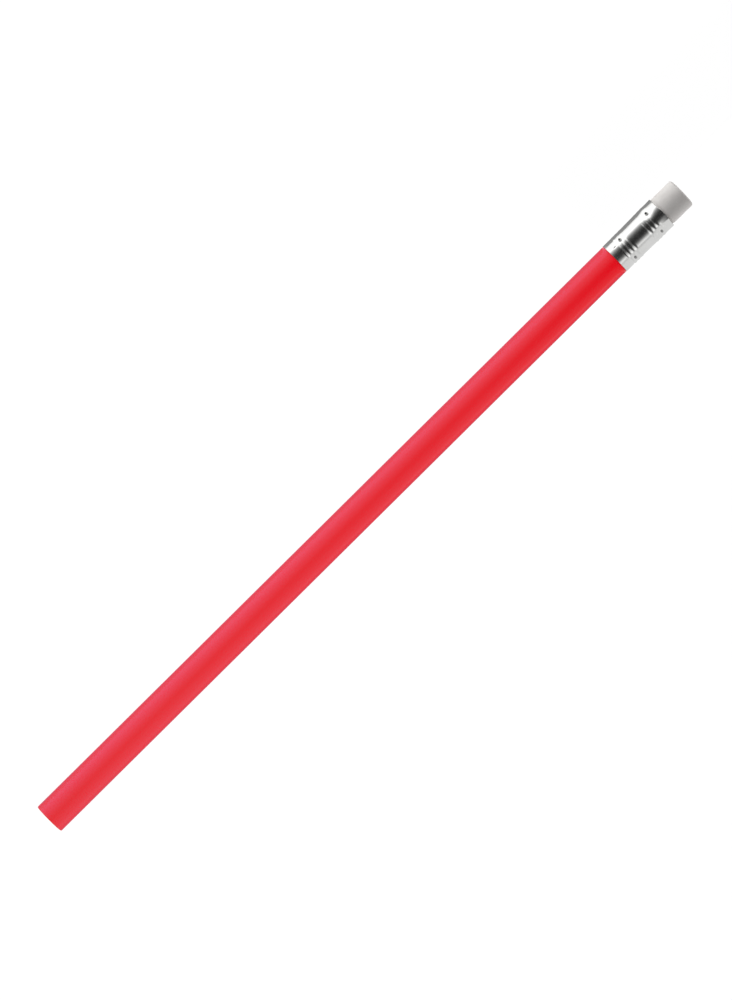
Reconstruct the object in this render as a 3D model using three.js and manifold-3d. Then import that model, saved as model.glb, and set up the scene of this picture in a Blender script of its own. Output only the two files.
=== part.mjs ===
// A round wood-cased pencil, unsharpened, with an eraser plug in a crimped aluminium ferrule.
// Millimetres, +Z up. The pencil lies along X with its eraser towards +X, and the origin is on the
// surface that it lies on, under the middle of its length.
import * as THREE from "three";
import { mergeVertices } from "three/addons/utils/BufferGeometryUtils.js";
import Module from "manifold-3d";

// Barrel: two glued slats round a lead, under a coat of lacquer
const barrelLength = 169.8; // from the cut end to the ferrule
const barrelDiameter = 7.25; // over the lacquer
const lacquerThickness = 0.12;
const lacquerGap = 0.01; // lacquer to wood, on the radius
const lacquerChamfer = 0.1; // worn edge at the cut end
const leadDiameter = 2.2;
const leadGap = 0.03; // lead to its groove, on the radius
const glueThickness = 0.08; // cured film between the slats

// Tenon: the turned-down end of the slats, which the ferrule grips
const tenonLength = 8.4;
const tenonCut = 0.02; // depth turned off the wood, on the radius
const tenonGap = 0.02; // tenon to ferrule, on the radius

// Ferrule: a drawn tube with two bands of rolled beads and a row of crimp dents in each
const ferruleLength = 14.1;
const ferruleWall = 0.2;
const shoulderGap = 0.02; // end of the lacquer to the ferrule's edge
const flareLength = 1; // slope from the tenon's bore to the eraser's
const beadsPerBand = 3;
const beadPitch = 1;
const beadWidth = 0.82;
const beadHeight = 0.1;
const lowerBandFromEdge = 3.6; // middle bead from the edge at the barrel
const upperBandFromMouth = 3.9; // middle bead from the mouth at the eraser
const dentsPerRow = 4;
const dentLength = 0.65; // along the pencil
const dentWidth = 0.85; // across it
const dentFloor = 0.08; // metal left under a dent
const dentAngle = 36; // degrees from the top to the first dent, towards +Y
const lowerDentsFromEdge = 3.4;
const upperDentsFromMouth = 2.7;

// Eraser plug
const eraserDiameter = 7.05;
const eraserShowing = 6.1; // length past the ferrule's mouth
const eraserGap = 0.04; // eraser to ferrule, on the radius
const eraserSeatGap = 0.3; // eraser's seated end to the tenon
const eraserFillet = 0.5; // round of the rubbing end
const eraserLeadIn = 0.3; // chamfer of the seated end

// Mesh fineness: every round has the same facets, so that nested rounds keep their gaps
const facets = 48;
const filletSteps = 5;
const flareSteps = 4;
const beadSteps = 4;
const shortestStep = 0.05; // along the ferrule's wall

// Places along the pencil, measured from the cut end
const shoulder = barrelLength - shoulderGap;
const woodEnd = shoulder + tenonLength;
const ferruleStart = barrelLength;
const ferruleMouth = ferruleStart + ferruleLength;
const eraserSeat = woodEnd + eraserSeatGap;
const eraserEnd = ferruleMouth + eraserShowing;

// Radii of what fits in what
const barrelRadius = barrelDiameter / 2;
const lacquerBore = barrelRadius - lacquerThickness;
const woodRadius = lacquerBore - lacquerGap;
const tenonRadius = woodRadius - tenonCut;
const leadRadius = leadDiameter / 2;
const grooveRadius = leadRadius + leadGap;
const tenonBore = tenonRadius + tenonGap;
const eraserRadius = eraserDiameter / 2;
const eraserBore = eraserRadius + eraserGap;
const beadTop = Math.max(tenonBore, eraserBore) + ferruleWall + beadHeight;
const largestRadius = Math.max(barrelRadius, beadTop);

const wasm = await Module();
wasm.setup();

// A solid of revolution about the local Y axis, which runs along the pencil from its cut end.
// Its flats touch the true circle, and flats face straight up and down.
function turned(profile) {
  const facetAngle = Math.PI / facets;
  const points = profile.map(([radius, along]) => new THREE.Vector2(radius / Math.cos(facetAngle), along));
  return new THREE.LatheGeometry(points, facets, facetAngle);
}

function solidOf(geometry) {
  geometry.deleteAttribute("normal");
  geometry.deleteAttribute("uv");
  const merged = mergeVertices(geometry);
  const vertProperties = merged.attributes.position.array;
  const triVerts = new Uint32Array(merged.index.array);
  return new wasm.Manifold(new wasm.Mesh({ numProp: 3, vertProperties, triVerts }));
}

function geometryOf(solid) {
  const { vertProperties, triVerts } = solid.getMesh();
  const geometry = new THREE.BufferGeometry();
  geometry.setAttribute("position", new THREE.BufferAttribute(vertProperties, 3));
  geometry.setIndex(new THREE.BufferAttribute(triVerts, 1));
  geometry.computeVertexNormals();
  return geometry;
}

// A box given by its lowest and highest local corners
function block(low, high) {
  const size = high.map((value, axis) => value - low[axis]);
  const middle = high.map((value, axis) => (value + low[axis]) / 2);
  return new THREE.BoxGeometry(...size).translate(...middle);
}

function leadCore() {
  return turned([
    [0, 0],
    [leadRadius, 0],
    [leadRadius, woodEnd],
    [0, woodEnd],
  ]);
}

// The glued casing before it is parted: a full round with its tenon, and the groove through it
function casing() {
  const round = turned([
    [0, 0],
    [woodRadius, 0],
    [woodRadius, shoulder],
    [tenonRadius, shoulder],
    [tenonRadius, woodEnd],
    [0, woodEnd],
  ]);
  const groove = turned([
    [0, -grooveRadius],
    [grooveRadius, -grooveRadius],
    [grooveRadius, woodEnd + grooveRadius],
    [0, woodEnd + grooveRadius],
  ]);
  return solidOf(round).subtract(solidOf(groove));
}

// The part of the casing between two heights and two sides, all along the wood
function casingWithin([lowZ, highZ], [lowX, highX] = [-barrelRadius, barrelRadius]) {
  const box = block([lowX, -barrelRadius, lowZ], [highX, woodEnd + barrelRadius, highZ]);
  return geometryOf(casing().intersect(solidOf(box)));
}

function slat(side) {
  const heights = [(side * glueThickness) / 2, side * barrelRadius];
  return casingWithin(heights.sort((a, b) => a - b));
}

function glueLine(side) {
  const reach = [0, side * barrelRadius];
  return casingWithin([-glueThickness / 2, glueThickness / 2], reach.sort((a, b) => a - b));
}

function lacquerCoat() {
  return turned([
    [lacquerBore, 0],
    [barrelRadius - lacquerChamfer, 0],
    [barrelRadius, lacquerChamfer],
    [barrelRadius, shoulder],
    [lacquerBore, shoulder],
    [lacquerBore, 0],
  ]);
}

const beadCentres = [];
for (let i = 0; i < beadsPerBand; i++) {
  const offset = (i - (beadsPerBand - 1) / 2) * beadPitch;
  beadCentres.push(ferruleStart + lowerBandFromEdge + offset);
  beadCentres.push(ferruleMouth - upperBandFromMouth + offset);
}

// The ferrule's bore without its beads: the tenon's, then a slope to the eraser's
function plainBore(along) {
  const slope = THREE.MathUtils.smoothstep(along, eraserSeat - flareLength, eraserSeat);
  return THREE.MathUtils.lerp(tenonBore, eraserBore, slope);
}

function beadRise(along) {
  const nearest = Math.min(...beadCentres.map((centre) => Math.abs(along - centre)));
  const share = Math.min(nearest / (beadWidth / 2), 1);
  return (beadHeight * (1 + Math.cos(Math.PI * share))) / 2;
}

// Where the ferrule's wall bends: its ends, its slope and its beads, in order
function ferruleStations() {
  const stations = [ferruleStart, ferruleMouth];
  for (let i = 0; i <= flareSteps; i++) {
    stations.push(eraserSeat - flareLength * (1 - i / flareSteps));
  }
  for (const centre of beadCentres) {
    for (let i = 0; i <= beadSteps; i++) {
      stations.push(centre + beadWidth * (i / beadSteps - 0.5));
    }
  }
  const inOrder = stations.filter((along) => along >= ferruleStart && along <= ferruleMouth);
  inOrder.sort((a, b) => a - b);
  const isClear = (along, i) => i === 0 || along - inOrder[i - 1] > shortestStep;
  return inOrder.filter((along, i) => along === ferruleMouth || isClear(along, i));
}

// One block for each dent, from a height over the bore to clear of the beads, grown on its sides
function dentBlocks(height, growth) {
  const rows = [ferruleStart + lowerDentsFromEdge, ferruleMouth - upperDentsFromMouth];
  const halfWidth = dentWidth / 2 + growth;
  const halfLength = dentLength / 2 + growth;
  const blocks = [];
  for (const row of rows) {
    const low = [-halfWidth, row - halfLength, plainBore(row) + height];
    const high = [halfWidth, row + halfLength, largestRadius + ferruleWall];
    for (let i = 0; i < dentsPerRow; i++) {
      const turn = (2 * Math.PI * i) / dentsPerRow - THREE.MathUtils.degToRad(dentAngle);
      blocks.push(solidOf(block(low, high).rotateY(turn)));
    }
  }
  return blocks;
}

// The wall follows the beads, and is solid down to the bore where a dent presses a bead back in
function ferrule() {
  const stations = ferruleStations();
  const outside = stations.map((along) => [plainBore(along) + beadRise(along) + ferruleWall, along]);
  const inside = stations.map((along) => [plainBore(along) + beadRise(along), along]);
  inside[0][1] -= ferruleWall;
  inside[inside.length - 1][1] += ferruleWall;
  const closed = (wall) => [[0, wall[0][1]], ...wall, [0, wall[wall.length - 1][1]]];
  let bore = solidOf(turned(closed(inside)));
  for (const pad of dentBlocks(0, ferruleWall)) {
    bore = bore.subtract(pad);
  }
  let wall = solidOf(turned(closed(outside))).subtract(bore);
  for (const pocket of dentBlocks(dentFloor, 0)) {
    wall = wall.subtract(pocket);
  }
  return geometryOf(wall);
}

function eraserPlug() {
  const profile = [
    [0, eraserSeat],
    [eraserRadius - eraserLeadIn, eraserSeat],
    [eraserRadius, eraserSeat + eraserLeadIn],
  ];
  for (let i = 0; i <= filletSteps; i++) {
    const angle = (Math.PI / 2) * (i / filletSteps);
    const radius = eraserRadius - eraserFillet * (1 - Math.cos(angle));
    profile.push([radius, eraserEnd - eraserFillet * (1 - Math.sin(angle))]);
  }
  profile.push([0, eraserEnd]);
  return turned(profile);
}

function finish(color, roughness, metalness = 0) {
  return new THREE.MeshStandardMaterial({ color, roughness, metalness });
}

const pencil = new THREE.Group();
pencil.rotation.z = -Math.PI / 2; // local Y to +X
pencil.position.set(-eraserEnd / 2, 0, largestRadius);

function place(name, geometry, material) {
  const mesh = new THREE.Mesh(geometry, material);
  mesh.name = name;
  pencil.add(mesh);
}

place("lead_core", leadCore(), finish(0x3a3b3e, 0.45));
place("upper_slat", slat(1), finish(0xd9b184, 0.75));
place("lower_slat", slat(-1), finish(0xd3aa7c, 0.75));
place("glue_line_left", glueLine(-1), finish(0xc79a5e, 0.5));
place("glue_line_right", glueLine(1), finish(0xc79a5e, 0.5));
place("lacquer_coat", lacquerCoat(), finish(0xdd1f2a, 0.4));
place("ferrule", ferrule(), finish(0xd4d4d2, 0.22, 1));
place("eraser_plug", eraserPlug(), finish(0xd2d0cd, 0.8));

const part = new THREE.Group();
part.add(pencil);

export default part;
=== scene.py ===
# A red round pencil with a crimped ferrule and a rubber eraser, lying on a white table in soft light.
import math
import bmesh
import bpy
import numpy as np
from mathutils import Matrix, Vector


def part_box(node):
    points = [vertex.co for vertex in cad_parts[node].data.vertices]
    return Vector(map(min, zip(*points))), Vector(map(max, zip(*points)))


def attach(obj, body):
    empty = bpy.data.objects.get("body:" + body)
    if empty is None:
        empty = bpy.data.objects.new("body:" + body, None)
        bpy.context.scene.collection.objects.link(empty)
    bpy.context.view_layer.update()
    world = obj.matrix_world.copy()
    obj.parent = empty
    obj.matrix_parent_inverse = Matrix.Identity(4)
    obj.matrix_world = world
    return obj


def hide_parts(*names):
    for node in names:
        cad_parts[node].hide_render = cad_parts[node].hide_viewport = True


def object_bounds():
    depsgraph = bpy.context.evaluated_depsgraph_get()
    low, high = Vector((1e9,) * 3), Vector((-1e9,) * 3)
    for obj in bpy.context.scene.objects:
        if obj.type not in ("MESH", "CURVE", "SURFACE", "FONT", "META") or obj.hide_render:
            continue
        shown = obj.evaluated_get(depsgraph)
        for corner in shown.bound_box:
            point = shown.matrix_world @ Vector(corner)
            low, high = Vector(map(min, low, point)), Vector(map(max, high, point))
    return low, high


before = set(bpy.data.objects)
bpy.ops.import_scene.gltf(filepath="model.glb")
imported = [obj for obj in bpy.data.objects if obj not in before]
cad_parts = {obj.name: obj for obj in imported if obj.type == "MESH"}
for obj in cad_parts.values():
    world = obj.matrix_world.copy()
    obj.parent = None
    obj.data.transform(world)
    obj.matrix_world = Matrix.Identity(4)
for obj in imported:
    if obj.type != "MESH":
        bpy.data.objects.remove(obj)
cadLow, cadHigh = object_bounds()  # the CAD box, which sets the camera's scale
scene = bpy.context.scene
mm = 0.001
print("frame loaded:", ", ".join(sorted(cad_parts)))

# places along the pencil and radii, from the frame
lacquerLow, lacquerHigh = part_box("lacquer_coat")
ferruleLow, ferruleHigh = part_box("ferrule")
eraserLow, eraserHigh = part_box("eraser_plug")
slatLow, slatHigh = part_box("upper_slat")
leadLow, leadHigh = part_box("lead_core")
axisHeight = (lacquerLow.z + lacquerHigh.z) / 2
barrelRadius = (lacquerHigh.z - lacquerLow.z) / 2
woodRadius = slatHigh.z - axisHeight
leadRadius = (leadHigh.z - leadLow.z) / 2
eraserRadius = (eraserHigh.z - eraserLow.z) / 2
cutEnd = lacquerLow.x
pressedOver = 0.09 * mm  # the ferrule is pushed this far over the end of the lacquer
shoulder = lacquerHigh.x - pressedOver
ferruleStart = ferruleLow.x - pressedOver
ferruleMouth = ferruleHigh.x
woodEnd = slatHigh.x

# the photograph's view: straight down, with the pencil rising to the upper right
view = {
    "imageSize": (732, 1000),
    "cutEndPixel": (49.18, 819.14),
    "eraserEndPixel": (682.28, 192.06),
    "lensHeight": 1600 * mm,  # over the pencil's axis
    "sensor": 36,  # along the image's long side
}


def addCamera():
    across = view["eraserEndPixel"][0] - view["cutEndPixel"][0]
    rise = view["cutEndPixel"][1] - view["eraserEndPixel"][1]
    metresPerPixel = (cadHigh.x - cadLow.x) / math.hypot(across, rise)
    roll = -math.atan2(rise, across)
    middle = [(a + b) / 2 for a, b in zip(view["cutEndPixel"], view["eraserEndPixel"])]
    right = (view["imageSize"][0] / 2 - middle[0]) * metresPerPixel
    up = (middle[1] - view["imageSize"][1] / 2) * metresPerPixel
    data = bpy.data.cameras.new("camera")
    data.sensor_width = view["sensor"]
    data.lens = view["sensor"] * view["lensHeight"] / (view["imageSize"][1] * metresPerPixel)
    camera = bpy.data.objects.new("camera", data)
    camera.location.x = right * math.cos(roll) - up * math.sin(roll)
    camera.location.y = right * math.sin(roll) + up * math.cos(roll)
    camera.location.z = axisHeight + view["lensHeight"]
    camera.rotation_euler.z = roll
    scene.collection.objects.link(camera)
    scene.camera = camera


addCamera()
scene.view_settings.view_transform = "Standard"
print("camera placed")


# an sRGB hex value as a linear colour
def hexColour(code):
    channels = [int(code[i:i + 2], 16) / 255 for i in (0, 2, 4)]
    linear = [c / 12.92 if c <= 0.04045 else ((c + 0.055) / 1.055) ** 2.4 for c in channels]
    return (*linear, 1)


# adds a node: a socket given another node's output is linked, any other value is set; a colour Mix has
# its two colours at sockets 6 and 7, and its result at output 2
def addNode(tree, kind, inputs=None, **settings):
    node = tree.nodes.new("ShaderNode" + kind)
    for name, value in settings.items():
        setattr(node, name, value)
    for socket, value in (inputs or {}).items():
        if isinstance(value, bpy.types.NodeSocket):
            tree.links.new(value, node.inputs[socket])
        else:
            node.inputs[socket].default_value = value
    return node


def newMaterial(name):
    material = bpy.data.materials.new(name)
    material.use_nodes = True
    material.node_tree.nodes.clear()
    return material, material.node_tree


# Nitrocellulose lacquer on wood, drawn through a gasket coat by coat: a saturated red with a satin
# shine, faint streaks along the barrel, and a pale ground coat where the cut end shows its edge.
def satinLacquer():
    look = {
        "red": "e80418", "deepRed": "e40316", "groundCoat": "e9d9c4", "roughness": (0.12, 0.17),
        "streakLength": 30 * mm, "streakWidth": 0.5 * mm, "peelSize": 0.7 * mm,
        "rippleDepth": 0.004 * mm, "edgeShowing": 0.05 * mm,
    }
    material, tree = newMaterial("satin red lacquer, drawn through a gasket")
    place = addNode(tree, "TexCoord").outputs["Object"]
    streakScale = (1 / look["streakLength"], 1 / look["streakWidth"], 1 / look["streakWidth"])
    along = addNode(tree, "Mapping", {"Vector": place, "Scale": streakScale})
    streaks = addNode(tree, "TexNoise", {"Vector": along.outputs[0], "Scale": 1.0, "Detail": 3.0})
    peel = addNode(tree, "TexNoise", {"Vector": place, "Scale": 1 / look["peelSize"], "Detail": 2.0})
    reds = addNode(tree, "Mix", {0: streaks.outputs["Fac"], 6: hexColour(look["red"]),
                                 7: hexColour(look["deepRed"])}, data_type="RGBA")
    parts = addNode(tree, "SeparateXYZ", {"Vector": place})
    atEnd = addNode(tree, "MapRange", {"Value": parts.outputs["X"], "From Min": cutEnd,
                                       "From Max": cutEnd + look["edgeShowing"],
                                       "To Min": 1.0, "To Max": 0.0})
    colour = addNode(tree, "Mix", {0: atEnd.outputs[0], 6: reds.outputs[2],
                                   7: hexColour(look["groundCoat"])}, data_type="RGBA")
    gloss = addNode(tree, "MapRange", {"Value": peel.outputs["Fac"], "To Min": look["roughness"][0],
                                       "To Max": look["roughness"][1]})
    ripple = addNode(tree, "Bump", {"Height": streaks.outputs["Fac"], "Strength": 0.6,
                                    "Distance": look["rippleDepth"]})
    skin = addNode(tree, "Bump", {"Height": peel.outputs["Fac"], "Strength": 0.4,
                                  "Distance": look["rippleDepth"], "Normal": ripple.outputs[0]})
    shader = addNode(tree, "BsdfPrincipled", {"Base Color": colour.outputs[2], "IOR": 1.5,
                                              "Roughness": gloss.outputs[0], "Normal": skin.outputs[0]})
    addNode(tree, "OutputMaterial", {"Surface": shader.outputs[0]})
    return material


# Drawn aluminium tube, bright rolled and crimped: a near mirror with faint draw lines along it, a few dull
# touches where fingers have been, and painted shade that darkens the metal in the punched dents.
def brightAluminium():
    look = {
        "metal": "f3f3f2", "dull": "e4e4e2", "dentShadeColour": "a0a09f", "roughness": (0.13, 0.2),
        "touchSize": 3 * mm, "lineLength": 4 * mm, "lineDepth": 0.0006 * mm,
        "lineWidth": 0.12 * mm,  # drawn coarser than real draw lines, to show
    }
    material, tree = newMaterial("bright drawn aluminium")
    place = addNode(tree, "TexCoord").outputs["Object"]
    lineScale = (1 / look["lineLength"], 1 / look["lineWidth"], 1 / look["lineWidth"])
    along = addNode(tree, "Mapping", {"Vector": place, "Scale": lineScale})
    lines = addNode(tree, "TexNoise", {"Vector": along.outputs[0], "Scale": 1.0, "Detail": 3.0})
    touches = addNode(tree, "TexNoise", {"Vector": place, "Scale": 1 / look["touchSize"], "Detail": 4.0})
    metal = addNode(tree, "Mix", {0: touches.outputs["Fac"], 6: hexColour(look["metal"]),
                                  7: hexColour(look["dull"])}, data_type="RGBA")
    # painted shade: the punch share darkens the metal in the dents
    paintedDentShade = addNode(tree, "Attribute", attribute_name="paintedDentShade")
    pressed = addNode(tree, "MapRange", {"Value": paintedDentShade.outputs["Fac"],
                                         "From Min": 0.05, "From Max": 0.45})
    colour = addNode(tree, "Mix", {0: pressed.outputs[0], 6: metal.outputs[2],
                                   7: hexColour(look["dentShadeColour"])}, data_type="RGBA")
    polish = addNode(tree, "MapRange", {"Value": touches.outputs["Fac"], "From Min": 0.3,
                                        "From Max": 0.7, "To Min": look["roughness"][0],
                                        "To Max": look["roughness"][1]})
    relief = addNode(tree, "Bump", {"Height": lines.outputs["Fac"], "Strength": 0.5,
                                    "Distance": look["lineDepth"]})
    shader = addNode(tree, "BsdfPrincipled", {"Base Color": colour.outputs[2], "Metallic": 1.0,
                                              "Roughness": polish.outputs[0],
                                              "Normal": relief.outputs[0]})
    addNode(tree, "OutputMaterial", {"Surface": shader.outputs[0]})
    return material


# Vulcanised rubber with pumice, extruded, tumbled and cut: a dull grey white with a dusty bloom at
# its edges and a fine grit.
def pumiceRubber():
    look = {
        "rubber": "edeae7", "grit": "e3dedb", "roughness": 0.85, "bloom": 0.1,
        "gritSize": 0.15 * mm, "gritDepth": 0.012 * mm, "cloudSize": 2.5 * mm,
    }
    material, tree = newMaterial("tumbled pumice rubber")
    place = addNode(tree, "TexCoord").outputs["Object"]
    grit = addNode(tree, "TexNoise", {"Vector": place, "Scale": 1 / look["gritSize"], "Detail": 3.0})
    clouds = addNode(tree, "TexNoise", {"Vector": place, "Scale": 1 / look["cloudSize"], "Detail": 2.0})
    specks = addNode(tree, "Math", {0: grit.outputs["Fac"], 1: clouds.outputs["Fac"]},
                     operation="MULTIPLY")
    share = addNode(tree, "MapRange", {"Value": specks.outputs[0], "From Min": 0.1, "From Max": 0.45})
    colour = addNode(tree, "Mix", {0: share.outputs[0], 6: hexColour(look["rubber"]),
                                   7: hexColour(look["grit"])}, data_type="RGBA")
    relief = addNode(tree, "Bump", {"Height": grit.outputs["Fac"], "Strength": 0.5,
                                    "Distance": look["gritDepth"]})
    shader = addNode(tree, "BsdfPrincipled", {"Base Color": colour.outputs[2], "IOR": 1.5,
                                              "Roughness": look["roughness"],
                                              "Normal": relief.outputs[0],
                                              "Sheen Weight": look["bloom"], "Sheen Roughness": 0.5})
    addNode(tree, "OutputMaterial", {"Surface": shader.outputs[0]})
    return material


wavePeriod = math.pi / 10  # the wave texture repeats at this length, at a scale of 1


# Basswood, sawn square: a pale cream end grain with soft growth rings, fine pores and saw lines.
def sawnBasswood():
    look = {
        "early": "e6cfa9", "late": "cfae80", "pore": "a98458", "roughness": 0.8,
        "ringSpacing": 1.3 * mm, "ringCentre": (0, 9 * mm, -4 * mm), "alongGrain": 0.02,
        "poreSize": 0.09 * mm,  # real pores are half as wide, and too fine to show
        "sawSpacing": 0.22 * mm, "sawDepth": 0.01 * mm,
    }
    material, tree = newMaterial("sawn basswood")
    place = addNode(tree, "TexCoord").outputs["Object"]
    fibre = addNode(tree, "Mapping", {"Vector": place, "Location": look["ringCentre"],
                                      "Scale": (look["alongGrain"], 1, 1)})
    wander = addNode(tree, "TexNoise", {"Vector": fibre.outputs[0], "Scale": 1 / look["ringSpacing"]})
    rings = addNode(tree, "TexWave", {"Vector": fibre.outputs[0], "Distortion": 1.2, "Detail": 2.0,
                                      "Scale": wavePeriod / look["ringSpacing"]},
                    wave_type="RINGS", rings_direction="X")
    blend = addNode(tree, "Math", {0: rings.outputs["Fac"], 1: wander.outputs["Fac"]},
                    operation="MULTIPLY")
    grain = addNode(tree, "Mix", {0: blend.outputs[0], 6: hexColour(look["early"]),
                                  7: hexColour(look["late"])}, data_type="RGBA")
    cellScale = 1 / (2 * look["poreSize"])  # a pore is half as wide as its cell
    cells = addNode(tree, "TexVoronoi", {"Vector": fibre.outputs[0], "Scale": cellScale})
    pores = addNode(tree, "MapRange", {"Value": cells.outputs["Distance"], "From Min": 0.12,
                                       "From Max": 0.25, "To Min": 0.55, "To Max": 0.0})
    colour = addNode(tree, "Mix", {0: pores.outputs[0], 6: grain.outputs[2],
                                   7: hexColour(look["pore"])}, data_type="RGBA")
    sawScale = math.sqrt(2) * wavePeriod / look["sawSpacing"]  # slanted waves are wider on the sawn face
    saw = addNode(tree, "TexWave", {"Vector": place, "Scale": sawScale, "Distortion": 0.6},
                  wave_type="BANDS", bands_direction="DIAGONAL")
    relief = addNode(tree, "Bump", {"Height": saw.outputs["Fac"], "Strength": 0.4,
                                    "Distance": look["sawDepth"]})
    shader = addNode(tree, "BsdfPrincipled", {"Base Color": colour.outputs[2], "IOR": 1.5,
                                              "Roughness": look["roughness"],
                                              "Normal": relief.outputs[0]})
    addNode(tree, "OutputMaterial", {"Surface": shader.outputs[0]})
    return material


# Fired graphite and clay, sawn with the wood: dark grey with a faint metallic shine and bright flakes.
def firedGraphite():
    look = {
        "graphite": "37383b", "flake": "5c5e63", "metallic": 0.3, "roughness": (0.55, 0.35),
        "flakeSize": 0.08 * mm, "grainDepth": 0.006 * mm,
    }
    material, tree = newMaterial("fired graphite and clay")
    place = addNode(tree, "TexCoord").outputs["Object"]
    flakes = addNode(tree, "TexNoise", {"Vector": place, "Scale": 1 / look["flakeSize"], "Detail": 4.0})
    share = addNode(tree, "MapRange", {"Value": flakes.outputs["Fac"],
                                       "From Min": 0.5, "From Max": 0.75})
    colour = addNode(tree, "Mix", {0: share.outputs[0], 6: hexColour(look["graphite"]),
                                   7: hexColour(look["flake"])}, data_type="RGBA")
    shine = addNode(tree, "MapRange", {"Value": flakes.outputs["Fac"], "To Min": look["roughness"][0],
                                       "To Max": look["roughness"][1]})
    relief = addNode(tree, "Bump", {"Height": flakes.outputs["Fac"], "Strength": 0.4,
                                    "Distance": look["grainDepth"]})
    shader = addNode(tree, "BsdfPrincipled", {"Base Color": colour.outputs[2],
                                              "Metallic": look["metallic"],
                                              "Roughness": shine.outputs[0],
                                              "Normal": relief.outputs[0]})
    addNode(tree, "OutputMaterial", {"Surface": shader.outputs[0]})
    return material


# Wood glue, pressed thin and cured: a darker amber line, paler in spots where it is thinnest.
def curedGlue():
    look = {"glue": "b98a4e", "thin": "d2ab74", "roughness": 0.45, "spotSize": 0.3 * mm}
    material, tree = newMaterial("cured wood glue")
    place = addNode(tree, "TexCoord").outputs["Object"]
    spots = addNode(tree, "TexNoise", {"Vector": place, "Scale": 1 / look["spotSize"], "Detail": 2.0})
    colour = addNode(tree, "Mix", {0: spots.outputs["Fac"], 6: hexColour(look["glue"]),
                                   7: hexColour(look["thin"])}, data_type="RGBA")
    shader = addNode(tree, "BsdfPrincipled", {"Base Color": colour.outputs[2], "IOR": 1.48,
                                              "Roughness": look["roughness"]})
    addNode(tree, "OutputMaterial", {"Surface": shader.outputs[0]})
    return material


waviness = {"waves": 14, "spread": (0.6, 2.5)}  # waves added up, and their lengths over the usual one


# a smooth uneven field round and along a turned piece, from about -1 to 1
def unevenness(along, angle, seed, waveLength, mostTurns):
    draw = np.random.default_rng(seed)
    field = np.zeros(np.broadcast(along, angle).shape)
    for _ in range(waviness["waves"]):
        turns = draw.integers(0, mostTurns + 1)
        length = waveLength * draw.uniform(*waviness["spread"])
        phase = draw.uniform(0, 2 * math.pi, 2)
        field += np.sin(2 * math.pi * along / length + phase[0]) * np.cos(turns * angle + phase[1])
    return field / math.sqrt(waviness["waves"])


def softStep(value, low, high):
    share = np.clip((value - low) / (high - low), 0, 1)
    return share * share * (3 - 2 * share)


# a rounded hump: 1 in its middle, 0 from its half width on
def humpAt(place, middle, halfWidth):
    share = np.clip(np.abs(place - middle) / halfWidth, 0, 1)
    return (1 + np.cos(math.pi * share)) / 2


# how far an angle is from a middle one, the shorter way round
def angleFrom(angle, middle):
    return np.mod(angle - middle + math.pi, 2 * math.pi) - math.pi


meshing = {"weld": 0.0001 * mm, "sharpEdge": math.radians(40)}


# a mesh piece from corner points and faces, welded where points meet, smooth but for its sharp edges
def addPiece(name, points, faces, material, body, nodes):
    mesh = bpy.data.meshes.new(name)
    mesh.from_pydata(points.tolist(), [], faces.tolist())
    work = bmesh.new()
    work.from_mesh(mesh)
    bmesh.ops.remove_doubles(work, verts=work.verts, dist=meshing["weld"])
    work.to_mesh(mesh)
    work.free()
    mesh.shade_smooth()
    mesh.set_sharp_from_angle(angle=meshing["sharpEdge"])
    mesh.materials.append(material)
    piece = bpy.data.objects.new(name, mesh)
    scene.collection.objects.link(piece)
    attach(piece, body)
    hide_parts(*nodes)
    print("made", name, len(mesh.polygons), "faces")
    return piece


# faces of a grid of points, rows by columns; the columns go all round, the rows only if ringRows
def gridFaces(rows, columns, ringRows=False):
    i, j = np.meshgrid(np.arange(rows if ringRows else rows - 1), np.arange(columns), indexing="ij")
    k = (i + 1) % rows
    m = (j + 1) % columns
    corners = [i * columns + j, k * columns + j, k * columns + m, i * columns + m]
    return np.stack(corners, -1).reshape(-1, 4)


# points of a turned piece: angles run from the top towards +Y
def turnedPoints(along, radius, angle):
    along = np.broadcast_to(along, radius.shape)
    points = np.stack([along, radius * np.sin(angle), axisHeight + radius * np.cos(angle)], -1)
    return points.reshape(-1, 3)


def anglesRound(count):
    return np.linspace(0, 2 * math.pi, count, endpoint=False)[None, :]


barrel = {
    "lacquer": 0.12 * mm, "endRound": 0.3 * mm, "roundFrom": 0.42,  # where the lacquer begins in the round
    "shoulderEdge": 0.05 * mm, "shoulderDrop": 0.005 * mm,
    "sag": 0.006 * mm, "sagSeed": 3, "sagLength": 40 * mm, "sagTurns": 3,
    "segments": 128, "step": 2 * mm, "roundSteps": 9,
}


# how far the rounded cut end lies behind the sawn face, at a radius
def endRoundAt(radius):
    over = np.clip(radius - (barrelRadius - barrel["endRound"]), 0, barrel["endRound"])
    return barrel["endRound"] - np.sqrt(barrel["endRound"] ** 2 - over ** 2)


def addLacquer():
    bore = barrelRadius - barrel["lacquer"]
    arc = np.linspace(barrel["roundFrom"], 1, barrel["roundSteps"]) * math.pi / 2
    edge = barrelRadius - barrel["endRound"] * (1 - np.sin(arc))
    endPlaces = cutEnd + endRoundAt(edge)
    count = round((shoulder - cutEnd) / barrel["step"])
    sidePlaces = np.linspace(cutEnd + 2 * barrel["endRound"], shoulder - barrel["shoulderEdge"], count)
    side = np.full(count, barrelRadius)
    along = np.concatenate([[shoulder, cutEnd + endRoundAt(bore)], endPlaces, sidePlaces, [shoulder]])
    radius = np.concatenate([[bore, bore], edge, side, [barrelRadius - barrel["shoulderDrop"]]])
    angle = anglesRound(barrel["segments"])
    along = along[:, None]
    wave = unevenness(along, angle, barrel["sagSeed"], barrel["sagLength"], barrel["sagTurns"])
    wave[:2] = 0  # the bore stays plain
    grid = radius[:, None] - np.abs(wave * barrel["sag"])
    points = turnedPoints(along, grid, angle)
    faces = gridFaces(*grid.shape, ringRows=True)
    addPiece("lacquer_skin", points, faces, satinLacquer(), "pencil", ["lacquer_coat"])


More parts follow.
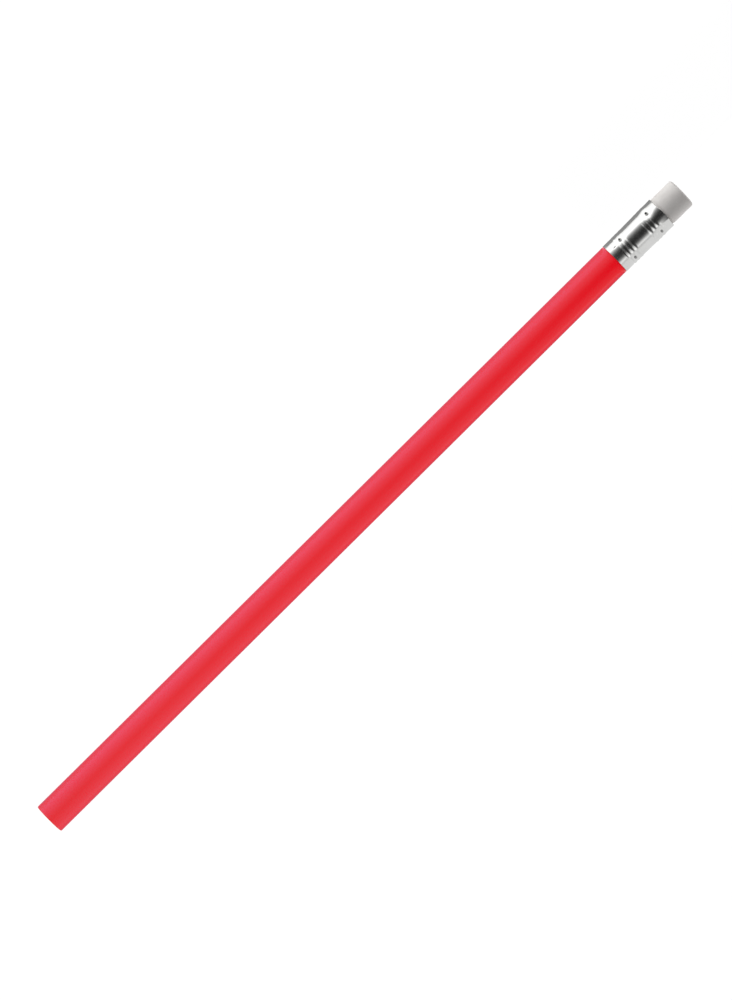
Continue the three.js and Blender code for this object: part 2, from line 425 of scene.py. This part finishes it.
# places along the ferrule are measured from its edge at the barrel
ferruleLook = {
    "wall": 0.2 * mm, "leastWall": 0.06 * mm, "tenonBore": woodRadius, "eraserGap": 0.04 * mm,
    "flareEnd": 10.09 * mm, "flareLength": 6 * mm,
    "beadPitch": 1.01 * mm, "beadWidth": 0.98 * mm, "beadHeight": 0.1 * mm,
    "lowerBand": 3.75 * mm, "upperBand": 10.36 * mm,  # middle beads
    "dents": 4, "lowerDents": 3.45 * mm, "upperDents": 11.36 * mm,
    "dentTurn": math.radians(36), "dentSkew": 0.15 * mm, "dentUneven": 0.2,
    "dentHalfLength": 0.485 * mm, "dentHalfWidth": 0.76 * mm, "dentDepth": 0.29 * mm,
    "dishReach": 1.2 * mm, "dishDepth": 0.075 * mm, "dishFlattens": 0.7,
    "squeeze": 0.085 * mm, "squeezePlace": 11.5 * mm, "squeezeLength": 1.6 * mm, "squeezeUneven": 0.2,
    "wear": 0.75, "wearTurn": math.radians(80),
    "dipPlace": 2.36 * mm, "dipHalfWidth": 0.36 * mm, "dipDepth": 0.08 * mm,  # before the first bead
    "nickPlace": 1.69 * mm, "nickTurn": math.radians(27.5),
    "nickLength": 0.35 * mm, "nickWidth": 0.14 * mm, "nickDepth": 0.06 * mm,
    "mouthSwell": 0.05 * mm, "mouthSag": 0.2 * mm, "sagReach": 1 * mm,
    "mouthTaper": 0.065 * mm, "taperLength": 2.4 * mm, "taperTurn": math.radians(-25), "taperPower": 1.2,
    "bulge": 0.05 * mm, "bulgeTurn": math.radians(85), "bulgeWidth": math.radians(35),
    "bulgeLength": 1.1 * mm,
    "cornerTurn": math.radians(-31.5), "cornerWidth": math.radians(17),
    "cornerEarly": 0.7, "cornerStart": 0.2,  # most of its width comes at the start of the taper
    "lip": 0.06 * mm, "startLip": 0.02 * mm, "lipSteps": 7,
    "segments": 256, "crowding": 0.5, "step": 0.075 * mm,
}


# the share of the punch's depth at places from the ferrule's edge: 1 in the middle of a dent, 0 past it
def punchAt(row, place, angle, radius, grow=0.0):
    look = ferruleLook
    share = np.zeros(np.broadcast(place, angle).shape)
    for k in range(look["dents"]):
        middle = look["dentTurn"] + k * 2 * math.pi / look["dents"]
        sideways = angleFrom(angle, middle) * radius
        lengthways = place - look[row] - look["dentSkew"] * math.sin(middle)
        longer = 1 + look["dentUneven"] * math.sin(middle)  # left dents are longer, right ones wider
        halfLength = look["dentHalfLength"] * longer + grow
        halfWidth = look["dentHalfWidth"] / longer + grow
        pit = np.hypot(lengthways / halfLength, sideways / halfWidth)
        share = np.maximum(share, 1 - softStep(pit, 0, 1))
    return share


def addFerrule():
    look = ferruleLook
    length = ferruleMouth - ferruleStart
    lip, startLip = look["lip"], look["startLip"]
    dents = look["dents"]
    even = anglesRound(look["segments"])
    crowd = look["crowding"] * np.sin(dents * (even - look["dentTurn"])) / dents
    angle = even - crowd  # closer together at the dents
    place = np.linspace(startLip, length - lip, round(length / look["step"]))[:, None]

    flare = softStep(place, look["flareEnd"] - look["flareLength"], look["flareEnd"])
    eraserBore = eraserRadius + look["eraserGap"]
    bore = look["tenonBore"] + (eraserBore - look["tenonBore"]) * flare
    bead = np.zeros_like(place)
    for band in (look["lowerBand"], look["upperBand"]):
        for k in (-1, 0, 1):
            middle = band + k * look["beadPitch"]
            bead += look["beadHeight"] * humpAt(place, middle, look["beadWidth"] / 2)
    dip = look["dipDepth"] * humpAt(place, look["dipPlace"], look["dipHalfWidth"])
    # the crimp leaves the mouth a little out of round: drawn in at the top right, bulged at the left
    toMouth = np.clip((place - length + look["taperLength"]) / look["taperLength"], 0, 1)
    drawnIn = np.clip(np.cos(angle - look["taperTurn"]), 0, 1) ** 2
    fromBulge = angleFrom(angle, look["bulgeTurn"]) / look["bulgeWidth"]
    bulge = np.exp(-fromBulge ** 2 - ((place - look["upperDents"]) / look["bulgeLength"]) ** 2)
    plain = bore + look["wall"] + look["mouthSwell"] * softStep(toMouth, 0, 1) + look["bulge"] * bulge
    plain = plain - look["mouthTaper"] * drawnIn * toMouth ** look["taperPower"]
    # and bent to a soft corner at the right
    early = look["cornerEarly"]
    grown = early * softStep(toMouth, 0, look["cornerStart"]) + (1 - early) * toMouth
    fromCorner = np.abs(angleFrom(angle, look["cornerTurn"]))
    bend = np.clip(look["cornerWidth"] * grown - fromCorner, 0, None)
    plain = plain / np.cos(bend)

    # a punched dent flattens the beads round it and dishes the wall
    rows = ("lowerDents", "upperDents")
    dish = np.maximum(*[punchAt(row, place, angle, plain, look["dishReach"]) for row in rows])
    punch = np.maximum(*[punchAt(row, place, angle, plain) for row in rows])
    worn = 1 - look["wear"] * np.clip(np.cos(angle - look["wearTurn"]), 0, 1)
    flattened = 1 - look["dishFlattens"] * dish
    dished = plain - dip * worn + bead * worn * flattened - look["dishDepth"] * dish
    # the upper punches also squeeze the tube into four lobes, for there is no wood under them
    fromRow = (place - look["squeezePlace"]) / look["squeezeLength"]
    lobes = 1 + np.cos(dents * (angle - look["dentTurn"]))
    leftMost = 1 - look["squeezeUneven"] * (1 - np.sin(angle))  # most at the left
    dished = dished - look["squeeze"] * lobes * leftMost * np.exp(-fromRow ** 2)
    outside = dished - look["dentDepth"] * punch
    # one small nick from handling
    nickAway = angleFrom(angle, look["nickTurn"]) * plain / look["nickWidth"]
    nick = np.exp(-nickAway ** 2 - ((place - look["nickPlace"]) / look["nickLength"]) ** 2)
    outside = outside - look["nickDepth"] * nick
    inside = np.minimum(np.maximum(bore, plain - look["wall"]) + bead, outside - look["leastWall"])

    # rolled lips join the two walls
    rim = np.linspace(0, math.pi, look["lipSteps"])[1:-1, None]
    middle = (outside + inside) / 2
    half = (outside - inside) / 2
    mouthRim = middle[-1] + np.cos(rim) * half[-1]
    startRim = middle[0] - np.cos(rim) * half[0]
    mouthPlaces = length - lip + lip * np.sin(rim)
    startPlaces = startLip - startLip * np.sin(rim)
    grid = np.concatenate([outside, mouthRim, inside[::-1], startRim])
    along = ferruleStart + np.concatenate([place, mouthPlaces, place[::-1], startPlaces])
    # the punches also draw the mouth's edge back
    drawnBack = look["mouthSag"] * lobes / 2
    along = along - drawnBack * softStep(along, ferruleMouth - look["sagReach"], ferruleMouth)
    points = turnedPoints(along, grid, angle)
    faces = gridFaces(*grid.shape, ringRows=True)
    piece = addPiece("ferrule_tube", points, faces, brightAluminium(), "pencil", ["ferrule"])
    # the punch share, kept on the points, paints shade into the dents
    paintedDentShade = piece.data.attributes.new("paintedDentShade", "FLOAT", "POINT")
    share = np.zeros(grid.shape)
    share[:len(place)] = punch
    paintedDentShade.data.foreach_set("value", share.ravel())


eraserLook = {
    "fillet": 0.59 * mm, "leadIn": 0.25 * mm, "crown": 0.02 * mm, "slant": 0.12 * mm,
    "aside": (0.085 * mm, 0.035 * mm),  # towards the left, at the mouth and at the end
    "waist": 0.13 * mm, "waistLength": 0.3 * mm, "scoreDepth": 0.45 * mm, "scoreGrow": 0.25 * mm,
    "uneven": 0.012 * mm, "unevenSeed": 11, "unevenLength": 3 * mm, "unevenTurns": 5,
    "segments": 128, "step": 0.12 * mm, "arcSteps": 9, "faceSteps": 16,
}


def addEraser():
    look = eraserLook
    angle = anglesRound(look["segments"])
    seat, end = eraserLow.x, eraserHigh.x
    fillet, leadIn = look["fillet"], look["leadIn"]
    arc = np.linspace(0, math.pi / 2, look["arcSteps"])[:, None]
    share = np.linspace(0, 1, look["faceSteps"])[:, None]
    side = np.linspace(seat + leadIn, end - fillet, round((end - seat) / look["step"]))[1:-1, None]
    rows = (
        ((eraserRadius - leadIn) * share[:-1], seat),
        (eraserRadius - leadIn * (1 - np.sin(arc)), seat + leadIn * (1 - np.cos(arc))),
        (eraserRadius + 0 * side, side),
        (eraserRadius - fillet * (1 - np.cos(arc)), end - fillet * (1 - np.sin(arc))),
        ((eraserRadius - fillet) * share[-2::-1], end),
    )
    grid = np.concatenate([radius + 0 * angle for radius, place in rows])
    along = np.concatenate([place + 0 * radius + 0 * angle for radius, place in rows])
    full = (grid / eraserRadius) ** 2
    wave = unevenness(along, angle, look["unevenSeed"], look["unevenLength"], look["unevenTurns"])
    grid += wave * look["uneven"] * full
    # the mouth nips the plug, and the dents score the seated part from their row to its back end
    nip = np.exp(-((along - ferruleMouth) / look["waistLength"]) ** 2)
    grid -= look["waist"] * nip * full
    behind = np.maximum(along - ferruleStart, ferruleLook["upperDents"])
    score = punchAt("upperDents", behind, angle, eraserRadius, look["scoreGrow"])
    grid -= look["scoreDepth"] * score * full
    points = turnedPoints(along, grid, angle)
    # the cut face is a little crowned and slanted, and the plug stands aside in the mouth and leans back
    across = np.hypot(points[:, 1], points[:, 2] - axisHeight) / eraserRadius
    atEnd = softStep(points[:, 0], end - fillet, end)
    points[:, 0] -= look["crown"] * atEnd * across ** 2
    points[:, 0] -= look["slant"] * atEnd * (1 - points[:, 1] / eraserRadius) / 2
    points[:, 1] += np.interp(points[:, 0], (seat, ferruleMouth, end), (0, *look["aside"]))
    faces = gridFaces(*grid.shape)
    addPiece("eraser_block", points, faces, pumiceRubber(), "eraser", ["eraser_plug"])


casing = {
    "groove": leadRadius + 0.03 * mm, "glue": 0.08 * mm, "tenonCut": 0.02 * mm,
    "sawDepth": 0.008 * mm, "sawTurn": 0.6, "sawWave": 0.16 * mm,  # marks are pi times this apart
    "pressDepth": 0.34 * mm, "pressGrow": 0.25 * mm, "pressReach": 1 * mm, "pressSteps": 17,
    "sideStart": 0.4 * mm, "rings": 10, "arcs": 64,
}


# half of the casing: its sawn face, its round side with the tenon, its groove and its glued faces
def addSlat(name, node, side, material):
    rings = np.linspace(0, 1, casing["rings"])[:, None]
    arcs = np.linspace(0, 1, casing["arcs"])[None, :]

    def section(outer):
        radius = casing["groove"] + (outer - casing["groove"]) * rings
        start = np.arcsin(casing["glue"] / 2 / radius)
        angle = start + (math.pi - 2 * start) * arcs
        return radius * np.ones_like(arcs), angle

    def rim(grid):
        return np.concatenate([grid[-1], grid[-2::-1, -1], grid[0, -2::-1], grid[1:-1, 0]])

    def corners(along, radius, angle):
        height = axisHeight + side * radius * np.sin(angle)
        return np.stack([along * np.ones_like(radius), radius * np.cos(angle), height], -1)

    radius, angle = section(woodRadius)
    tenon, tenonAngle = section(woodRadius - casing["tenonCut"])
    saw = casing["sawDepth"] * np.sin(radius * np.sin(angle + casing["sawTurn"]) / casing["sawWave"])
    sawn = corners(cutEnd + endRoundAt(radius) + np.abs(saw), radius, angle)
    back = corners(woodEnd, tenon, tenonAngle)
    loops = [corners(cutEnd + casing["sideStart"], rim(radius), rim(angle)),
             corners(shoulder, rim(radius), rim(angle)),
             corners(shoulder, rim(tenon), rim(tenonAngle))]
    # the lower dents press into the tenon
    fromTop = math.pi / 2 - side * tenonAngle[-1]
    reach = np.linspace(-1, 1, casing["pressSteps"]) * casing["pressReach"]
    for place in ferruleLook["lowerDents"] + reach:
        punch = punchAt("lowerDents", place, fromTop, woodRadius, casing["pressGrow"])
        pressed = tenon.copy()
        pressed[-1] -= casing["pressDepth"] * punch
        loops.append(corners(ferruleStart + place, rim(pressed), rim(tenonAngle)))
    size = radius.size
    points = np.concatenate([sawn.reshape(-1, 3), back.reshape(-1, 3), *loops])
    index = np.arange(size).reshape(radius.shape)
    loopSize = len(loops[0])
    chain = [rim(index)] + [2 * size + k * loopSize + np.arange(loopSize) for k in range(len(loops))]
    chain.append(rim(index) + size)
    cell = np.stack([index[:-1, :-1], index[1:, :-1], index[1:, 1:], index[:-1, 1:]], -1).reshape(-1, 4)
    faces = [cell[:, ::-1], cell + size]
    for near, far in zip(chain, chain[1:]):
        faces.append(np.stack([near, far, np.roll(far, -1), np.roll(near, -1)], -1))
    faces = np.concatenate(faces)
    if side > 0:
        faces = faces[:, ::-1]
    addPiece(name, points, faces, material, "pencil", [node])


lead = {"recess": 0.012 * mm, "ease": 0.03 * mm, "segments": 64, "faceSteps": 8}


def addLead():
    angle = anglesRound(lead["segments"])
    share = np.linspace(0, 1, lead["faceSteps"])
    face = np.full(lead["faceSteps"], cutEnd + lead["recess"])
    back = np.full(lead["faceSteps"], woodEnd)
    faceRadius = share * (leadRadius - lead["ease"])
    backRadius = (leadRadius * share)[::-1]
    radius = np.concatenate([faceRadius, [leadRadius, leadRadius], backRadius])
    along = np.concatenate([face, [face[0] + lead["ease"], woodEnd], back])
    grid = radius[:, None] * np.ones_like(angle)
    points = turnedPoints(along[:, None], grid, angle)
    faces = gridFaces(*grid.shape)
    addPiece("lead_rod", points, faces, firedGraphite(), "pencil", ["lead_core"])


addLacquer()
addFerrule()
addEraser()
wood = sawnBasswood()
addSlat("slat_above", "upper_slat", 1, wood)
addSlat("slat_below", "lower_slat", -1, wood)
addLead()
glue = curedGlue()
for node in ("glue_line_left", "glue_line_right"):
    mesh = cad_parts[node].data
    mesh.materials.clear()
    mesh.materials.append(glue)
print("glue lines coated")

# White table and surroundings, with soft cards that the camera doesn't see: the left one is bright, the
# right ones are grey and straight above is dark. A tent lights the barrel evenly. Sizes are in metres.
studio = {"tableSize": 8.0, "tableDrop": 0.01 * mm, "tableGlow": 0.965, "tableColour": "616161"}
cards = {
    "left_panel": {"glow": 1.3, "lamp": 2.4,
                   "along": (-0.6, 0.6), "across": (0.35, 0.35), "up": (0, 0.28)},
    "right_panel": {"glow": 0.75, "lamp": 1.0,
                    "along": (-0.6, 0.6), "across": (-0.3, -0.3), "up": (0, 0.12)},
    "right_seam": {"glow": 0.6, "along": (-0.6, 0.17), "across": (-0.3, -0.3), "up": (0.12, 0.22)},
    "right_top": {"glow": 0.9, "along": (-0.6, 0.17), "across": (-0.3, -0.3), "up": (0.22, 0.36)},
    "right_far": {"glow": 0.55, "along": (0.17, 0.6), "across": (-0.3, -0.3), "up": (0.12, 0.36)},
}
# sheets on the table: the glow goes from the pencil outwards, and dims to a share of it towards the
# eraser; the low glow next to the pencil, and the dim ferrule_left sheet, are a painted shadow of the
# pencil on the table
sheets = {
    "barrel_left": {"glow": (0.3, 1.35), "lamp": 1.25, "dims": 1.0, "blue": 1.45,
                    "along": (-0.1, ferruleStart), "across": (4.5 * mm, 26 * mm)},
    "barrel_right": {"glow": (0.25, 1.0), "lamp": 1.25, "dims": 0.7, "blue": 1.35,
                     "along": (-0.1, ferruleStart), "across": (-4.5 * mm, -22 * mm)},
    "ferrule_left": {"glow": (0.29, 0.29), "dims": 1.0, "blue": 1.0,
                     "along": (ferruleStart, 0.3), "across": (4.5 * mm, 24 * mm)},
    "ferrule_right": {"glow": (0.75, 0.75), "lamp": 0.9, "dims": 1.0, "blue": 1.0,
                      "along": (ferruleStart, 0.6), "across": (-4.5 * mm, -300 * mm)},
}
sheetHeight = 0.3 * mm
# the overhead sheets glow more further from the pencil, and the right one widens past the ferrule
overhead = {
    "left": {"side": 1, "reach": (0.19, 0.19), "power": 2.5, "most": 1.0},
    "right": {"side": -1, "reach": (0.14, 1.6), "power": 3.2, "most": 0.8},
}
overheadPlace = {"along": (-0.9, 1.0), "height": 0.15, "dark": 0.026, "widens": 0.08}
# A tent over the barrel, and the curtain that closes it before the ferrule. Stops are the angle from
# straight up towards the left, the glow, and the glow of its blue.
tent = {
    "from": -0.14, "to": shoulder + 0.01 * mm, "radius": 35 * mm, "inner": 3.85 * mm,
    "lean": math.radians(1.5), "apart": 0.01 * mm, "steps": 24, "lamp": 1.0,
    "reach": 95, "curtainReach": 150, "fade": (0.075, -0.064), "power": 0.6,
    "near": ((-100, 0.62, 0.6), (-48, 0.22, 0.23), (-34, 0.0, 0.0), (-12, 0.0, 0.0), (0, 0.15, 0.16),
             (49, 1.12, 1.4), (62, 1.65, 2.4), (100, 1.5, 2.3)),
    "far": ((-100, 1.12, 1.5), (-80, 1.18, 1.45), (-45, 1.09, 1.25), (-14, 0.8, 0.88), (0, 0.88, 0.97),
            (70, 1.8, 2.8), (100, 1.5, 2.35)),
    "curtain": ((-100, 0.68, 0.68), (-60, 0.66, 0.66), (-46, 1.2, 1.2), (-15, 0.1, 0.1), (15, 0.1, 0.1),
                (46, 1.2, 1.2), (100, 1.3, 1.3)),
}


def addStage(name, points, faces, material):
    mesh = bpy.data.meshes.new(name)
    mesh.from_pydata(points, [], faces)
    mesh.materials.append(material)
    sheet = bpy.data.objects.new(name, mesh)
    scene.collection.objects.link(sheet)
    return sheet


# a glowing stage piece; one with a lamp's strength lights by that, and only reflections see its glow
def addCard(name, points, faces, material, light, lamp=None):
    tree = material.node_tree
    if lamp:
        plain = addNode(tree, "Emission", {"Strength": lamp})
        isLight = addNode(tree, "LightPath").outputs["Is Diffuse Ray"]
        light = addNode(tree, "MixShader", {0: isLight, 1: light.outputs[0], 2: plain.outputs[0]})
    addNode(tree, "OutputMaterial", {"Surface": light.outputs[0]})
    material.cycles.emission_sampling = "NONE"
    card = addStage(name, points, faces, material)
    card.visible_camera = False


def addPanel(name, card):
    material, tree = newMaterial(name)
    light = addNode(tree, "Emission", {"Strength": card["glow"]})
    (x0, x1), (y0, y1), (z0, z1) = card["along"], card["across"], card["up"]
    corners = [(x0, y0, z0), (x1, y0, z0), (x1, y1, z1), (x0, y1, z1)]
    addCard(name, corners, [(0, 1, 2, 3)], material, light, lamp=card.get("lamp"))


def addSheet(name, card):
    material, tree = newMaterial(name)
    parts = addNode(tree, "SeparateXYZ", {"Vector": addNode(tree, "TexCoord").outputs["Object"]})
    (x0, x1), (y0, y1), z = card["along"], card["across"], sheetHeight
    glow = addNode(tree, "MapRange", {"Value": parts.outputs["Y"], "From Min": y0, "From Max": y1,
                                      "To Min": card["glow"][0], "To Max": card["glow"][1]})
    dims = addNode(tree, "MapRange", {"Value": parts.outputs["X"], "From Min": x0, "From Max": x1,
                                      "To Min": 1.0, "To Max": card["dims"]})
    total = addNode(tree, "Math", {0: glow.outputs[0], 1: dims.outputs[0]}, operation="MULTIPLY")
    light = addNode(tree, "Emission", {"Color": (1, 1, card["blue"], 1), "Strength": total.outputs[0]})
    corners = [(x0, y0, z), (x1, y0, z), (x1, y1, z), (x0, y1, z)]
    addCard(name, corners, [(0, 1, 2, 3)], material, light, lamp=card.get("lamp"))


def addOverhead(name, card):
    material, tree = newMaterial(name)
    parts = addNode(tree, "SeparateXYZ", {"Vector": addNode(tree, "TexCoord").outputs["Object"]})
    away = addNode(tree, "Math", {0: parts.outputs["Y"]}, operation="ABSOLUTE")
    (x0, x1), z, widens = overheadPlace["along"], overheadPlace["height"], overheadPlace["widens"]
    (near, far), side = card["reach"], card["side"]
    reach = addNode(tree, "MapRange", {"Value": parts.outputs["X"], "From Min": widens, "From Max": x1,
                                       "To Min": near, "To Max": far})
    share = addNode(tree, "Math", {0: away.outputs[0], 1: reach.outputs[0]}, operation="DIVIDE")
    rise = addNode(tree, "Math", {0: share.outputs[0], 1: card["power"]}, operation="POWER")
    total = addNode(tree, "Math", {0: rise.outputs[0], 1: overheadPlace["dark"]}, operation="ADD")
    glow = addNode(tree, "Math", {0: total.outputs[0], 1: card["most"]}, operation="MINIMUM")
    light = addNode(tree, "Emission", {"Strength": glow.outputs[0]})
    corners = [(x0, 0, z), (x1, 0, z), (x1, side * far, z), (widens, side * near, z),
               (x0, side * near, z)]
    addCard(name, corners, [(0, 1, 2, 3, 4)], material, light)


# a ramp round the pencil's axis, from stops of an angle, a glow and its blue
def addRound(tree, parts, stops):
    up = addNode(tree, "Math", {0: parts.outputs["Z"], 1: axisHeight}, operation="SUBTRACT")
    angle = addNode(tree, "Math", {0: parts.outputs["Y"], 1: up.outputs[0]}, operation="ARCTAN2")
    first, last = stops[0][0], stops[-1][0]
    share = addNode(tree, "MapRange", {"Value": angle.outputs[0], "From Min": math.radians(first),
                                       "From Max": math.radians(last)})
    ramp = addNode(tree, "ValToRGB", {"Fac": share.outputs[0]})
    marks = ramp.color_ramp.elements
    for place, glow, blue in stops[1:-1]:
        marks.new((place - first) / (last - first)).color = (glow, glow, blue, 1)
    for mark, (_, glow, blue) in ((marks[0], stops[0]), (marks[-1], stops[-1])):
        mark.color = (glow, glow, blue, 1)
    return ramp.outputs["Color"]


def addTent():
    inner, outer = tent["inner"], tent["radius"]
    end = tent["to"] + (outer - inner) * math.tan(tent["lean"])
    steps, apart = tent["steps"], tent["apart"]
    near = np.arange(steps - 1)
    faces = np.stack([near, near + 1, near + 1 + steps, near + steps], -1).tolist()
    for name, along, radius in (("tent", (tent["from"], end), (outer, outer)),
                                ("tent_end", (tent["to"] - apart, end - apart), (inner, outer)),
                                ("curtain", (tent["to"], end), (inner, outer))):
        isCurtain = name == "curtain"
        reach = tent["curtainReach" if isCurtain else "reach"]  # the curtain goes down to the table
        turn = np.radians(np.linspace(-reach, reach, steps))[None, :]
        edges = np.array(radius)[:, None] * np.ones_like(turn)
        points = turnedPoints(np.array(along)[:, None], edges, turn)
        material, tree = newMaterial(name)
        parts = addNode(tree, "SeparateXYZ", {"Vector": addNode(tree, "TexCoord").outputs["Object"]})
        if name == "tent":
            far, full = tent["fade"]
            share = addNode(tree, "MapRange", {"Value": parts.outputs["X"],
                                               "From Min": far, "From Max": full})
            fade = addNode(tree, "Math", {0: share.outputs[0], 1: tent["power"]}, operation="POWER")
            mix = addNode(tree, "Mix", {0: fade.outputs[0], 6: addRound(tree, parts, tent["near"]),
                                        7: addRound(tree, parts, tent["far"])}, data_type="RGBA")
            colour = mix.outputs[2]
        else:
            colour = addRound(tree, parts, tent["curtain" if isCurtain else "near"])
        light = addNode(tree, "Emission", {"Color": colour})
        addCard(name, points.tolist(), faces, material, light, lamp=None if isCurtain else tent["lamp"])


def addStudio():
    white, tree = newMaterial("white table")
    shader = addNode(tree, "BsdfPrincipled", {"Base Color": hexColour(studio["tableColour"]),
                                              "Roughness": 1.0, "Specular IOR Level": 0.0,
                                              "Emission Color": (1, 1, 1, 1),
                                              "Emission Strength": studio["tableGlow"]})
    addNode(tree, "OutputMaterial", {"Surface": shader.outputs[0]})
    white.cycles.emission_sampling = "NONE"
    half, z = studio["tableSize"] / 2, -studio["tableDrop"]
    corners = [(-half, -half, z), (half, -half, z), (half, half, z), (-half, half, z)]
    addStage("table", corners, [(0, 1, 2, 3)], white)

    for name, card in cards.items():
        addPanel(name, card)
    for name, card in sheets.items():
        addSheet(name, card)
    for name, card in overhead.items():
        addOverhead("overhead_" + name, card)
    addTent()

    world = bpy.data.worlds.new("white surroundings")
    world.use_nodes = True
    world.node_tree.nodes["Background"].inputs["Color"].default_value = (1, 1, 1, 1)
    world.cycles.sampling_method = "NONE"  # so that no light reaches the shine past the cards
    scene.world = world


addStudio()
print("studio set")
